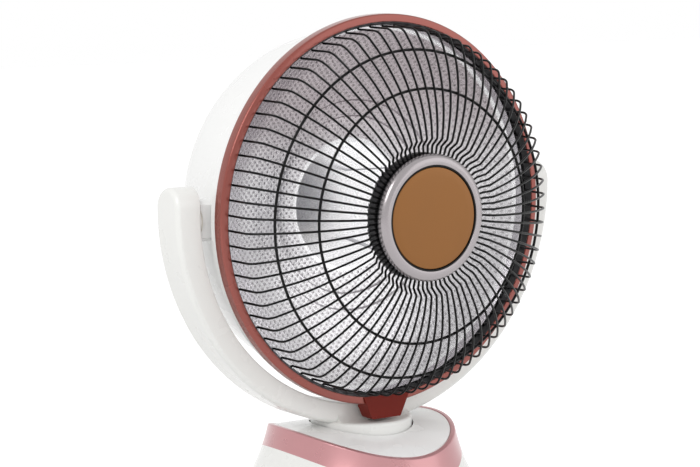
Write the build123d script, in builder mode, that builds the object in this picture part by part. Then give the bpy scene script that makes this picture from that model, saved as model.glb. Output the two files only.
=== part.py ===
from build123d import *
from math import acos, atan2, cos, degrees, radians, sin, sqrt
import os

# Dish heater with a carbon tube element, in millimetres.
# The origin is on the floor under the axis the head swings about.
# +Z is up and the heater faces -Y.

# Head: radii measured from the dish axis, depths along Y from the pivot.
ring_radius = 180.0
ring_wall = 2.4
ring_corner = 1.6
ring_back = -27.0
ring_front = ring_back - 11.1
lip_radius = ring_radius - 7.2
lip_front = ring_front - 1.2
shell_radius = ring_radius - 15.8
shell_wall = 2.4
shell_edge = ring_back + 15.0
flange_radius = ring_radius - 4.5
flange_front = ring_back - 1.7
flange_back = flange_front + 2.5
skirt_radius = ring_radius - 2.9
skirt_inner = skirt_radius - 1.0
skirt_front = ring_back - 7.0
skirt_back = ring_back + 11.0
bead = 0.4
reflector_sheet = 0.8
reflector_rim = flange_front - reflector_sheet
reflector_centre = 21.0
dish_radius = ring_radius - 12.0
dish_front = ring_back + 6.0
collar_radius = dish_radius + 1.4

# Wire guard.
wire_count = 78
wire_radius = 1.05
hoop_wire_radius = 1.3
rim_wire_radius = 2.0
guard_radius = ring_radius - 11.5
guard_front = -107.9
dome_radius = 141.2
dome_centre_r = 65.0
dome_centre_y = guard_front + dome_radius
corner_radius = 16.0
outer_hoop_r = guard_radius - 19.2
inner_hoop_r = guard_radius - 53.1
weld_depth = 0.05

# Hub in the middle of the guard.
drum_radius = 57.0
wire_seat_y = guard_front + 6.7
drum_front = wire_seat_y - 3.8
drum_back = wire_seat_y + 13.2
bezel_radius = drum_radius + 0.8
bezel_inner = drum_radius - 9.0
bezel_front = drum_front - 6.8
disc_radius = bezel_inner - 1.4
hub_screw_circle = drum_radius - 15.0

# Heating element.
tube_radius = 5.0
tube_wall = 1.0
tube_half_length = 36.0
tube_spacing = 22.0
tube_y = -66.0
leg_slot = 32.1

running_gap = 0.05
body_gap = 0.3

# Base: the outer skin is one turned shape, and curved cuts across it part
# the band from the body, so that the top falls away to the front and back.
# Each point of the skin has a radius and a share of the height.
saddle_radius = 217.0
saddle_y = 5.0
rim_crest = 118.0
band_height = 19.6
band_crest = rim_crest - band_height
plate_drop = 0.8
plate_thickness = 3.0
band_wall = 4.8
body_wall = 2.8
foot_radius = 47.6
foot_hole_radius = foot_radius + 1.4
base_edge_z = 3.0
floor_bottom = 4.0
floor_thickness = 3.0
base_radius = 133.0
skin_points = [(0.0, 0.0), (0.5, 0.0522), (4.0, 0.1391), (11.5, 0.2609), (20.0, 0.3913),
               (28.5, 0.5391), (36.2, 0.687), (41.9, 0.8296), (47.0, 1.0174)]
base_profile = [(base_radius - inset, base_edge_z + share * (rim_crest - base_edge_z))
                for inset, share in skin_points]
screw_circle = base_radius - 21.0

# Yoke: two circles give the C shape seen from the front.
yoke_inner_radius = ring_radius + 7.9
yoke_inner_rise = 6.1
arm_width = 25.0
yoke_outer_radius = yoke_inner_radius + arm_width
yoke_outer_rise = yoke_inner_rise + 5.2
yoke_half_depth = 18.0
yoke_end_rise = 13.0
yoke_wall = 3.0
foot_bottom = rim_crest - 14.0
foot_top = foot_bottom + 18.0
arm_seat = 12.4
boss_radius = 19.0
boss_end = ring_radius + 4.3
pad_radius = 16.0
washer_inner = boss_end + body_gap
washer_outer = washer_inner + 1.4
bolt_radius = 4.0

# The pivot stands as high as the C needs, its lowest part set in the foot.
pivot_height = foot_bottom + arm_seat + yoke_outer_radius - yoke_outer_rise

# Swing gear under the base top.
turntable_radius = 58.0
turn_screw_circle = 33.0
turntable_thickness = 4.9
turntable_bottom = foot_bottom - turntable_thickness
bearing_thickness = 2.8
frame_top = turntable_bottom - body_gap - bearing_thickness
frame_thickness = 4.0
frame_radius = 70.0
post_radius = 5.0
post_circle = frame_radius - 8.0
shaft_radius = 3.5
motor_radius = 24.5
motor_height = 22.0

# Controls on the front of the base.
control_z = 50.0
control_slope = 27.5
knob_angle = 25.0
knob_radius = 17.0
knob_height = 15.0
recess_radius = 19.3
recess_depth = 2.4
spindle_radius = 3.0
button_radius = 6.0
button_travel = 2.0

# Tip-over switch and the way in for the supply.
plunger_radius = 4.5
plunger_hole = 4.9
plunger_y = 75.0
plunger_bottom = 0.3
gland_z = 24.0
bushing_radius = 6.5

os.makedirs("parts", exist_ok=True)

head_plane = Plane.XY.offset(pivot_height)
head_axis = Axis((0, 0, pivot_height), (0, 1, 0))


# The drum-shaped housing behind the reflector, closed and vented at the back.
shell_back = 120.5
shell_outline = [(shell_radius, shell_edge), (shell_radius, 7), (shell_radius - 2.3, 36),
                 (shell_radius - 10.7, 65), (shell_radius - 26.2, 86), (shell_radius - 52.2, 104),
                 (shell_radius - 86.2, 116), (46, shell_back)]
lining_radius = shell_radius - shell_wall
shell_lining = [(lining_radius, shell_edge), (lining_radius, 7), (lining_radius - 2.3, 35.5),
                (lining_radius - 10.5, 63.8), (lining_radius - 25.5, 84.3),
                (lining_radius - 51.0, 101.8), (lining_radius - 84.5, 113.7),
                (46, shell_back - shell_wall)]
with BuildPart() as rear_shell:
    with BuildSketch(head_plane):
        with BuildLine():
            Spline(*shell_outline, tangents=[(0, 1), (-1, 0)])
            Polyline(shell_outline[-1], (0, shell_back), (0, shell_back - shell_wall),
                     shell_lining[-1])
            Spline(*shell_lining, tangents=[(0, 1), (-1, 0)])
            Line(shell_lining[0], shell_outline[0])
        make_face()
    revolve(axis=head_axis)
    # Pivot bosses on the sides, flat in front where they pass the rim.
    for side in (-1, 1):
        with BuildSketch(Plane.YZ.offset(side * boss_end)):
            with Locations((0, pivot_height)):
                Circle(boss_radius)
            with Locations((shell_edge - boss_radius, pivot_height)):
                Rectangle(2 * boss_radius, 3 * boss_radius, mode=Mode.SUBTRACT)
        extrude(amount=-side * (boss_end - lining_radius + 1.1))
        with BuildSketch(Plane.YZ.offset(side * (boss_end + 1))):
            with Locations((0, pivot_height)):
                Circle(bolt_radius + running_gap)
        extrude(amount=-side * 30, mode=Mode.SUBTRACT)
    # Cooling slots in the back wall, in two rings.
    with BuildSketch(Plane.XZ.offset(-shell_back - 9.5)):
        with Locations((0, pivot_height)):
            with PolarLocations(74, 24):
                SlotOverall(26, 4)
            with PolarLocations(36, 12):
                SlotOverall(18, 4)
    extrude(amount=40, mode=Mode.SUBTRACT)
rear_shell.part.label = "rear_shell"
export_step(rear_shell.part, "parts/rear_shell.step")

# Rim on the front edge of the housing. It turns out and then runs forward as a
# skirt under the hoop, with a bead on its edge and a flange inside for the dish.
with BuildPart() as shell_rim:
    with BuildSketch(head_plane):
        with BuildLine():
            Polyline((lining_radius, shell_edge), (lining_radius + 1.7, shell_edge - 2.0),
                     (dish_radius + 1.0, skirt_back - 2.0), (skirt_inner, skirt_back - 3.5),
                     (skirt_inner, flange_back), (collar_radius + 1.8, flange_back),
                     (collar_radius + 1.8, flange_front), (skirt_inner, flange_front),
                     (skirt_inner, skirt_front), (skirt_radius + bead, skirt_front),
                     (skirt_radius + bead, ring_back - 2.4), (skirt_radius, ring_back - 2.0),
                     (skirt_radius, skirt_back - 1.2), (skirt_radius - 1.2, skirt_back),
                     (dish_radius, skirt_back + 0.4), (shell_radius, shell_edge), close=True)
        make_face()
    revolve(axis=head_axis)
shell_rim.part.label = "shell_rim"
export_step(shell_rim.part, "parts/shell_rim.step")

# Spun aluminium dish with two shallow steps round a flat middle, and a short
# collar that runs forward to its flange.
dish_curve = [(dish_radius, dish_front), (dish_radius - 8, -15.2), (dish_radius - 28, -2.6),
              (dish_radius - 50, 6.6), (dish_radius - 69, 11.8)]
step_line = [(dish_radius - 70.5, 13.8), (dish_radius - 84, 16.4), (dish_radius - 85.5, 18.4),
             (dish_radius - 107, 20.2), (dish_radius - 108.5, reflector_centre)]
with BuildPart() as reflector:
    with BuildSketch(head_plane):
        with BuildLine():
            Polyline((flange_radius, reflector_rim), (collar_radius, reflector_rim),
                     dish_curve[0])
            Spline(*dish_curve)
            Polyline(dish_curve[-1], *step_line, (0, reflector_centre),
                     (0, reflector_centre + reflector_sheet))
            Polyline((0, reflector_centre + reflector_sheet),
                     *[(r, y + reflector_sheet) for r, y in reversed(step_line)],
                     (dish_curve[-1][0], dish_curve[-1][1] + reflector_sheet))
            Spline(*[(r, y + reflector_sheet) for r, y in reversed(dish_curve)])
            Polyline((dish_radius, dish_front + reflector_sheet),
                     (dish_radius + reflector_sheet, dish_front + 0.4),
                     (collar_radius + reflector_sheet, flange_front),
                     (flange_radius, flange_front), (flange_radius, reflector_rim))
        make_face()
    revolve(axis=head_axis)
    # Slots that the legs of the element bracket come through.
    with BuildSketch(Plane.XZ.offset(-reflector_centre - 5)):
        with Locations((0, pivot_height + leg_slot), (0, pivot_height - leg_slot)):
            Rectangle(9, 2.8)
    extrude(amount=12, mode=Mode.SUBTRACT)
reflector.part.label = "reflector"
export_step(reflector.part, "parts/reflector.step")

# The coloured hoop that clamps housing, reflector and guard, split at the bottom.
# Its back edge hooks in behind the bead of the skirt, its front covers the liner.
with BuildPart() as trim_ring:
    with BuildSketch(head_plane):
        inside = ring_radius - ring_wall
        hook_inner = skirt_radius + running_gap
        with BuildLine():
            Polyline((hook_inner, ring_back - 1.4), (hook_inner, ring_back),
                     (ring_radius - 0.8, ring_back), (ring_radius, ring_back - 0.8),
                     (ring_radius, ring_front + ring_corner))
            RadiusArc((ring_radius, ring_front + ring_corner),
                      (ring_radius - ring_corner, ring_front), ring_corner)
            Polyline((ring_radius - ring_corner, ring_front), (lip_radius + 1, lip_front),
                     (lip_radius, lip_front + 0.8), (lip_radius, lip_front + 2.4),
                     (inside - 1, ring_front + 2.6), (inside, ring_front + 3.6),
                     (inside, ring_back - 1.4), (hook_inner, ring_back - 1.4))
        make_face()
    revolve(axis=head_axis)
    with BuildSketch(Plane.XY.offset(pivot_height - ring_radius - 2)):
        with Locations((0, (ring_front + ring_back) / 2)):
            Rectangle(2.0, ring_back - ring_front + 8)
    extrude(amount=16, mode=Mode.SUBTRACT)
trim_ring.part.label = "trim_ring"
export_step(trim_ring.part, "parts/trim_ring.step")

# The clip that draws the two ends of the hoop together, narrower at its back.
clip_front = lip_front - 1.2
clip_depth = 16.5
clip_top = pivot_height - lip_radius + 1.6
clip_bottom = pivot_height - ring_radius - 12.8
clip_screw_y = clip_front + 8.6
with BuildPart() as ring_clip:
    with BuildSketch(Plane.XZ.offset(-clip_front)):
        with BuildLine():
            Polyline((-26, clip_top), (26, clip_top), (16.5, clip_bottom + 1), (15.5, clip_bottom),
                     (-15.5, clip_bottom), (-16.5, clip_bottom + 1), (-26, clip_top))
        make_face()
    extrude(amount=-clip_depth)
    with BuildSketch(Plane.XY.offset(clip_bottom - 1)):
        with BuildLine():
            Polyline((-26, clip_front), (26, clip_front), (21, clip_front + clip_depth),
                     (-21, clip_front + clip_depth), (-26, clip_front))
        make_face()
    extrude(amount=40, mode=Mode.INTERSECT)
    with BuildSketch(head_plane):
        with BuildLine():
            Polyline((lip_radius - 20, shell_edge), (ring_radius, shell_edge),
                     (ring_radius, ring_front + ring_corner))
            RadiusArc((ring_radius, ring_front + ring_corner),
                      (ring_radius - ring_corner, ring_front), ring_corner)
            Polyline((ring_radius - ring_corner, ring_front), (lip_radius + 1, lip_front),
                     (lip_radius - 20, lip_front), (lip_radius - 20, shell_edge))
        make_face()
    revolve(axis=head_axis, mode=Mode.SUBTRACT)
    # Hole and counterbore for the screw that tightens it.
    with BuildSketch(Plane.XY.offset(clip_bottom - 1)):
        with Locations((0, clip_screw_y)):
            Circle(1.6)
    extrude(amount=9, mode=Mode.SUBTRACT)
    with BuildSketch(Plane.XY.offset(clip_bottom - 1)):
        with Locations((0, clip_screw_y)):
            Circle(3.3)
    extrude(amount=2.8, mode=Mode.SUBTRACT)
ring_clip.part.label = "ring_clip"
export_step(ring_clip.part, "parts/ring_clip.step")

with BuildPart() as clip_screw:
    with BuildSketch(Plane.XY.offset(clip_bottom + 0.2)):
        with Locations((0, clip_screw_y)):
            Circle(3.2)
    extrude(amount=1.6)
    with BuildSketch(Plane.XY.offset(clip_bottom + 1.8)):
        with Locations((0, clip_screw_y)):
            Circle(1.6)
    extrude(amount=6)
    with BuildSketch(Plane.XY.offset(clip_bottom + 0.2)):
        with Locations((0, clip_screw_y)):
            Rectangle(4.2, 0.9)
            Rectangle(0.9, 4.2)
    extrude(amount=0.8, mode=Mode.SUBTRACT)
clip_screw.part.label = "clip_screw"
export_step(clip_screw.part, "parts/clip_screw.step")

# Dark liner between the hoop's lip and the guard wires, opening towards its mouth.
liner_inner = guard_radius + wire_radius + 0.15
liner_outer = lip_radius - running_gap
liner_back = reflector_rim - 2 * rim_wire_radius
liner_front = lip_front + 1.1
with BuildPart() as guard_liner:
    with BuildSketch(head_plane):
        with BuildLine():
            Polyline((liner_outer - 0.6, liner_front), (liner_outer, liner_front),
                     (liner_outer, liner_back - 1.5), (flange_radius, liner_back - 1.5),
                     (flange_radius, liner_back), (liner_inner, liner_back), close=True)
        make_face()
    revolve(axis=head_axis)
guard_liner.part.label = "guard_liner"
export_step(guard_liner.part, "parts/guard_liner.step")

# Thick rim wire of the guard, lying against the reflector's flange.
rim_wire_y = reflector_rim - rim_wire_radius
rim_wire_r = skirt_inner - 0.1 - rim_wire_radius
with BuildPart() as guard_rim_wire:
    with BuildSketch(head_plane):
        with Locations((rim_wire_r, rim_wire_y)):
            Circle(rim_wire_radius)
    revolve(axis=head_axis)
guard_rim_wire.part.label = "guard_rim_wire"
export_step(guard_rim_wire.part, "parts/guard_rim_wire.step")

# Each guard wire is hooked at the rim, runs straight forward and over a soft
# corner, then in along a shallow dome, and steps back into the hub drum.
corner_r = guard_radius - corner_radius
corner_y = dome_centre_y - sqrt((dome_radius - corner_radius) ** 2
                                - (corner_r - dome_centre_r) ** 2)
corner_turn = degrees(atan2(dome_centre_y - corner_y, corner_r - dome_centre_r))
hook_end_r = rim_wire_r - rim_wire_radius + weld_depth
hook_bend = 2.5
joggle_r = drum_radius + 15.5
joggle_turn = degrees(acos((joggle_r - dome_centre_r) / dome_radius))
step_turn = joggle_turn - 45
step_radius = 2.4
with BuildPart() as side_wire:
    with BuildLine(head_plane):
        hook = Line((hook_end_r, rim_wire_y), (guard_radius + hook_bend, rim_wire_y))
        bend = JernArc(hook @ 1, hook % 1, hook_bend, 90)
        run = Line(bend @ 1, (guard_radius, corner_y))
        corner = JernArc(run @ 1, run % 1, corner_radius, -corner_turn)
    with BuildSketch(Plane(origin=(hook_end_r, rim_wire_y, pivot_height), z_dir=(-1, 0, 0))):
        Circle(wire_radius)
    sweep()

# The domed length goes on from the corner, butted against it face to face.
with BuildPart() as dome_wire:
    with BuildLine(head_plane):
        dome = JernArc(corner @ 1, corner % 1, dome_radius, corner_turn - joggle_turn)
        step_out = JernArc(dome @ 1, dome % 1, step_radius, step_turn - 90)
        drop = wire_seat_y - (step_out @ 1).Y - step_radius * (1 - cos(radians(45)))
        step_run = Line(step_out @ 1, step_out @ 1 + Vector(-drop, drop, 0))
        step_in = JernArc(step_run @ 1, step_run % 1, step_radius, 45)
        Line(step_in @ 1, (drum_radius - 2.4, wire_seat_y))
    with BuildSketch(Plane(origin=((corner @ 1).X, (corner @ 1).Y, pivot_height),
                           z_dir=((corner % 1).X, (corner % 1).Y, 0))):
        Circle(wire_radius)
    sweep()


def all_round(wire):
    """Copies of one guard wire, evenly spaced round the dish."""
    return [wire.rotate(head_axis, 360.0 * (i + 0.5) / wire_count) for i in range(wire_count)]


guard_side_wires = Compound(label="guard_side_wires", children=all_round(side_wire.part))
export_step(guard_side_wires, "parts/guard_side_wires.step")
guard_dome_wires = Compound(label="guard_dome_wires", children=all_round(dome_wire.part))
export_step(guard_dome_wires, "parts/guard_dome_wires.step")

# Two hoops welded behind the radial wires.
hoop_reach = dome_radius - wire_radius - hoop_wire_radius + weld_depth


def hoop_y(radius):
    """Depth of a hoop of this radius lying behind the domed wires."""
    return dome_centre_y - sqrt(hoop_reach ** 2 - (radius - dome_centre_r) ** 2)


with BuildPart() as guard_outer_hoop:
    with BuildSketch(head_plane):
        with Locations((outer_hoop_r, hoop_y(outer_hoop_r))):
            Circle(hoop_wire_radius)
    revolve(axis=head_axis)
guard_outer_hoop.part.label = "guard_outer_hoop"
export_step(guard_outer_hoop.part, "parts/guard_outer_hoop.step")

with BuildPart() as guard_inner_hoop:
    with BuildSketch(head_plane):
        with Locations((inner_hoop_r, hoop_y(inner_hoop_r))):
            Circle(hoop_wire_radius)
    revolve(axis=head_axis)
guard_inner_hoop.part.label = "guard_inner_hoop"
export_step(guard_inner_hoop.part, "parts/guard_inner_hoop.step")

# Black drum that holds the inner ends of the wires, ribbed behind them.
with BuildPart() as hub_drum:
    with BuildSketch(head_plane):
        with BuildLine():
            Polyline((0, drum_front), (drum_radius, drum_front),
                     (drum_radius, wire_seat_y - 1.4), (drum_radius - 2.5, wire_seat_y - 1.4),
                     (drum_radius - 2.5, wire_seat_y + 1.4), (drum_radius, wire_seat_y + 1.4),
                     (drum_radius, drum_back), (drum_radius - 5, drum_back),
                     (drum_radius - 5, drum_front + 2.5), (0, drum_front + 2.5), close=True)
        make_face()
    revolve(axis=head_axis)
    with BuildSketch(Plane.XZ.offset(-drum_back)):
        with Locations((0, pivot_height)):
            with PolarLocations(drum_radius, wire_count):
                Rectangle(1.6, 1.8)
    extrude(amount=drum_back - wire_seat_y - 1.4 - 0.6)
hub_drum.part.label = "hub_drum"
export_step(hub_drum.part, "parts/hub_drum.step")

# Bright plate that closes the back of the drum against the heat.
with BuildPart() as hub_shield:
    with BuildSketch(Plane.XZ.offset(-drum_back)):
        with Locations((0, pivot_height)):
            Circle(drum_radius - 5)
    extrude(amount=1.2)
    with BuildSketch(Plane.XZ.offset(-drum_back)):
        with Locations((0, pivot_height)):
            with PolarLocations(hub_screw_circle, 3, start_angle=90):
                Circle(1.6)
    extrude(amount=2, mode=Mode.SUBTRACT)
hub_shield.part.label = "hub_shield"
export_step(hub_shield.part, "parts/hub_shield.step")

# Rounded silver bezel on the front of the drum.
with BuildPart() as hub_bezel:
    with BuildSketch(head_plane):
        with BuildLine():
            Polyline((bezel_inner, bezel_front + 0.6), (bezel_inner, drum_front),
                     (bezel_radius, drum_front), (bezel_radius, drum_front - 2.6))
            RadiusArc((bezel_radius, drum_front - 2.6), (bezel_inner + 3.5, bezel_front), 6.4)
            Line((bezel_inner + 3.5, bezel_front), (bezel_inner + 0.6, bezel_front))
            Line((bezel_inner + 0.6, bezel_front), (bezel_inner, bezel_front + 0.6))
        make_face()
    revolve(axis=head_axis)
hub_bezel.part.label = "hub_bezel"
export_step(hub_bezel.part, "parts/hub_bezel.step")

# Narrow black ring between bezel and disc.
with BuildPart() as hub_gasket:
    with BuildSketch(head_plane):
        with Locations(((disc_radius + bezel_inner) / 2, (drum_front + bezel_front + 0.5) / 2)):
            Rectangle(bezel_inner - disc_radius, drum_front - bezel_front - 0.5)
    revolve(axis=head_axis)
hub_gasket.part.label = "hub_gasket"
export_step(hub_gasket.part, "parts/hub_gasket.step")

# Bare disc in the middle of the hub, a shallow cup with a closed front.
with BuildPart() as hub_disc:
    with BuildSketch(head_plane):
        with BuildLine():
            Polyline((0, bezel_front + 0.8), (disc_radius, bezel_front + 0.8),
                     (disc_radius, drum_front), (disc_radius - 2.5, drum_front),
                     (disc_radius - 2.5, bezel_front + 2.6), (0, bezel_front + 2.6), close=True)
        make_face()
    revolve(axis=head_axis)
hub_disc.part.label = "hub_disc"
export_step(hub_disc.part, "parts/hub_disc.step")

with BuildPart() as hub_screws:
    with BuildSketch(Plane.XZ.offset(-drum_back)):
        with Locations((0, pivot_height)):
            with PolarLocations(hub_screw_circle, 3, start_angle=90):
                Circle(1.55)
    extrude(amount=drum_back - drum_front - 2.5)
    with BuildSketch(Plane.XZ.offset(-drum_back)):
        with Locations((0, pivot_height)):
            with PolarLocations(hub_screw_circle, 3, start_angle=90):
                Circle(3.0)
    extrude(amount=-1.8)
hub_screws.part.label = "hub_screws"
export_step(hub_screws.part, "parts/hub_screws.step")

# Strip bracket behind the reflector, with two legs that reach forward through it.
holder_end = tube_half_length + 5.0
bracket_sheet = 1.2
bracket_back = reflector_centre + reflector_sheet + bracket_sheet / 2
with BuildPart() as element_bracket:
    with BuildSketch(Plane.YZ):
        with BuildLine():
            Polyline((tube_y - 6, pivot_height + holder_end + bracket_sheet / 2),
                     (tube_y + 8, pivot_height + holder_end + bracket_sheet / 2),
                     (bracket_back, pivot_height + 32), (bracket_back, pivot_height - 32),
                     (tube_y + 8, pivot_height - holder_end - bracket_sheet / 2),
                     (tube_y - 6, pivot_height - holder_end - bracket_sheet / 2))
        trace(line_width=bracket_sheet)
    extrude(amount=3, both=True)
element_bracket.part.label = "element_bracket"
export_step(element_bracket.part, "parts/element_bracket.step")

# Ceramic blocks that hold both tube ends.
socket_depth = 3.5
with BuildPart() as ceramic_holders:
    for side in (-1, 1):
        with BuildSketch(Plane.XY.offset(pivot_height + side * holder_end)):
            with Locations((0, tube_y)):
                RectangleRounded(36, 14, 3)
        extrude(amount=-side * (holder_end - tube_half_length + socket_depth))
        with BuildSketch(Plane.XY.offset(pivot_height + side * tube_half_length)):
            with Locations((tube_spacing / 2, tube_y), (-tube_spacing / 2, tube_y)):
                Circle(tube_radius + running_gap)
        extrude(amount=-side * (socket_depth + 1), mode=Mode.SUBTRACT)
ceramic_holders.part.label = "ceramic_holders"
export_step(ceramic_holders.part, "parts/ceramic_holders.step")

with BuildPart() as quartz_tubes:
    with BuildSketch(Plane.XY.offset(pivot_height)):
        with Locations((tube_spacing / 2, tube_y), (-tube_spacing / 2, tube_y)):
            Circle(tube_radius)
            Circle(tube_radius - tube_wall, mode=Mode.SUBTRACT)
    extrude(amount=tube_half_length, both=True)
quartz_tubes.part.label = "quartz_tubes"
export_step(quartz_tubes.part, "parts/quartz_tubes.step")

# Flat carbon strips inside the tubes, held between the ceramic blocks.
with BuildPart() as carbon_strips:
    with BuildSketch(Plane.XY.offset(pivot_height)):
        with Locations((tube_spacing / 2, tube_y), (-tube_spacing / 2, tube_y)):
            Rectangle(5.0, 0.6)
    extrude(amount=tube_half_length, both=True)
carbon_strips.part.label = "carbon_strips"
export_step(carbon_strips.part, "parts/carbon_strips.step")

# Thermal cut-out and terminal block on the back of the reflector.
back_face = reflector_centre + reflector_sheet
with BuildPart() as thermal_cutout:
    with BuildSketch(Plane.XZ.offset(-back_face)):
        with Locations((-30, pivot_height)):
            Circle(9)
    extrude(amount=-6)
    with BuildSketch(Plane.XZ.offset(-back_face - 6)):
        with Locations((-30, pivot_height + 4), (-30, pivot_height - 4)):
            Rectangle(5, 0.8)
    extrude(amount=-7)
thermal_cutout.part.label = "thermal_cutout"
export_step(thermal_cutout.part, "parts/thermal_cutout.step")

with BuildPart() as terminal_block:
    with BuildSketch(Plane.XZ.offset(-back_face)):
        with Locations((30, pivot_height)):
            RectangleRounded(20, 34, 1.5)
    extrude(amount=-13)
    with BuildSketch(Plane.XZ.offset(-back_face - 13)):
        with Locations((30, pivot_height)):
            with GridLocations(0, 11, 1, 3):
                Circle(2.4)
    extrude(amount=6, mode=Mode.SUBTRACT)
terminal_block.part.label = "terminal_block"
export_step(terminal_block.part, "parts/terminal_block.step")


def c_shape(inset):
    """Face of the C seen from the front, a little longer than the finished arms."""
    with Locations((0, pivot_height + yoke_outer_rise)):
        Circle(yoke_outer_radius - inset)
    with Locations((0, pivot_height + yoke_inner_rise)):
        Circle(yoke_inner_radius + inset, mode=Mode.SUBTRACT)
    with Locations((0, pivot_height + yoke_end_rise + yoke_half_depth + 156)):
        Rectangle(600, 300, mode=Mode.SUBTRACT)


end_radius = yoke_half_depth
end_z = pivot_height + yoke_end_rise
pocket_radius = end_radius - yoke_wall
cover_thickness = 2.5
cover_gap = 0.15
bolt_seat = washer_outer + 7.0
arm_radius = (yoke_outer_radius + yoke_inner_radius) / 2
arm_rise = (yoke_outer_rise + yoke_inner_rise) / 2
post_angles = [-72, -24, 24, 72]
cover_posts = [(arm_radius * sin(radians(a)), pivot_height + arm_rise - arm_radius * cos(radians(a)))
               for a in post_angles]
cover_front = yoke_half_depth - cover_thickness

# The hollow of the arms, open at the back.
with BuildPart() as arm_pocket:
    with BuildSketch(Plane.XZ):
        c_shape(yoke_wall)
    extrude(amount=40, both=True)
    with BuildSketch(Plane.YZ):
        with Locations(((yoke_half_depth + 1 - pocket_radius) / 2, end_z - 200)):
            Rectangle(yoke_half_depth + 1 + pocket_radius, 400)
        with Locations((0, end_z)):
            Circle(pocket_radius)
    extrude(amount=260, both=True, mode=Mode.INTERSECT)

with BuildPart() as yoke:
    with BuildSketch(Plane.XZ):
        c_shape(0)
    extrude(amount=yoke_half_depth, both=True)
    # Round the ends of both arms as seen from the side.
    with BuildSketch(Plane.YZ):
        with Locations((0, end_z - 200)):
            Rectangle(2 * yoke_half_depth, 400)
        with Locations((0, end_z)):
            Circle(end_radius)
    extrude(amount=260, both=True, mode=Mode.INTERSECT)
    # Soften the long edges of the arms, more on the outside than on the inside.
    rims = yoke.edges().filter_by(lambda e: abs(abs(e.center().Y) - yoke_half_depth) < 0.01
                                  and e.length > 300)
    fillet(rims.sort_by(lambda e: e.length)[-2:], 5)
    rims = yoke.edges().filter_by(lambda e: abs(abs(e.center().Y) - yoke_half_depth) < 0.01
                                  and e.length > 300)
    fillet(rims.sort_by(lambda e: e.length)[:2], 1.5)
    # Round foot that turns in the base top.
    with BuildSketch(Plane.XZ):
        with BuildLine():
            Polyline((0, foot_bottom), (foot_radius, foot_bottom), (foot_radius, foot_top - 3))
            RadiusArc((foot_radius, foot_top - 3), (foot_radius - 3, foot_top), -3)
            Polyline((foot_radius - 3, foot_top), (0, foot_top), (0, foot_bottom))
        make_face()
    revolve(axis=Axis.Z)
    # Soft shoulder where the arms rise from the foot.
    with BuildSketch(Plane.YZ):
        for side in (-1, 1):
            with BuildLine():
                Line((0, foot_top), (side * 26, foot_top))
                RadiusArc((side * 26, foot_top), (side * 18, foot_top + 8), side * 8)
                Polyline((side * 18, foot_top + 8), (0, foot_top + 8), (0, foot_top))
            make_face()
    extrude(amount=foot_radius - 8, both=True)
    # The arms are hollow, and so is the foot, with a way through for the leads.
    add(arm_pocket.part, mode=Mode.SUBTRACT)
    with BuildSketch(Plane.XY.offset(foot_bottom)):
        Circle(foot_radius - 4.6)
    extrude(amount=12, mode=Mode.SUBTRACT)
    with BuildSketch(Plane.XY.offset(foot_bottom + 11)):
        with Locations((22, 0), (-22, 0)):
            Circle(6)
    extrude(amount=8, mode=Mode.SUBTRACT)
    with BuildSketch(Plane.XY.offset(foot_bottom)):
        with PolarLocations(turn_screw_circle, 4, start_angle=45):
            Circle(5)
    extrude(amount=12.5)
    with BuildSketch(Plane.XY.offset(foot_bottom)):
        with PolarLocations(turn_screw_circle, 4, start_angle=45):
            Circle(1.5)
    extrude(amount=9, mode=Mode.SUBTRACT)
    # Posts that the cover is screwed to.
    with BuildSketch(Plane.XZ.offset(pocket_radius)):
        with Locations(*cover_posts):
            Circle(3.5)
    extrude(amount=-pocket_radius - cover_front)
    with BuildSketch(Plane.XZ.offset(-cover_front)):
        with Locations(*cover_posts):
            Circle(1.4)
    extrude(amount=12, mode=Mode.SUBTRACT)
    # Pivot seats inside and outside the inner walls.
    for side in (-1, 1):
        with BuildSketch(Plane.YZ.offset(side * washer_outer)):
            with Locations((0, pivot_height)):
                Circle(pad_radius)
        extrude(amount=side * 3.5)
        with BuildSketch(Plane.YZ.offset(side * (washer_outer + 3))):
            with Locations((0, pivot_height)):
                Circle(10)
        extrude(amount=side * (bolt_seat - washer_outer - 3))
        with BuildSketch(Plane.YZ.offset(side * (washer_outer - 1))):
            with Locations((0, pivot_height)):
                Circle(bolt_radius + running_gap)
        extrude(amount=side * 9, mode=Mode.SUBTRACT)
yoke.part.label = "yoke"
export_step(yoke.part, "parts/yoke.step")

# Cover that closes the back of both arms.
with BuildPart() as yoke_cover:
    with BuildSketch(Plane.XZ.offset(-cover_front)):
        c_shape(yoke_wall + cover_gap)
    extrude(amount=-cover_thickness + 0.3)
    with BuildSketch(Plane.YZ):
        with Locations((yoke_half_depth - 10, end_z - 200)):
            Rectangle(40, 400)
        with Locations((0, end_z)):
            Circle(pocket_radius - cover_gap)
    extrude(amount=260, both=True, mode=Mode.INTERSECT)
    with BuildSketch(Plane.XZ.offset(-cover_front)):
        with Locations(*cover_posts):
            Circle(1.7)
    extrude(amount=-5, mode=Mode.SUBTRACT)
yoke_cover.part.label = "yoke_cover"
export_step(yoke_cover.part, "parts/yoke_cover.step")

with BuildPart() as yoke_cover_screws:
    with BuildSketch(Plane.XZ.offset(-cover_front - cover_thickness + 0.3)):
        with Locations(*cover_posts):
            Circle(2.8)
    extrude(amount=-1.5)
    with BuildSketch(Plane.XZ.offset(-cover_front - cover_thickness + 0.3)):
        with Locations(*cover_posts):
            Circle(1.4)
    extrude(amount=10)
yoke_cover_screws.part.label = "yoke_cover_screws"
export_step(yoke_cover_screws.part, "parts/yoke_cover_screws.step")

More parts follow.
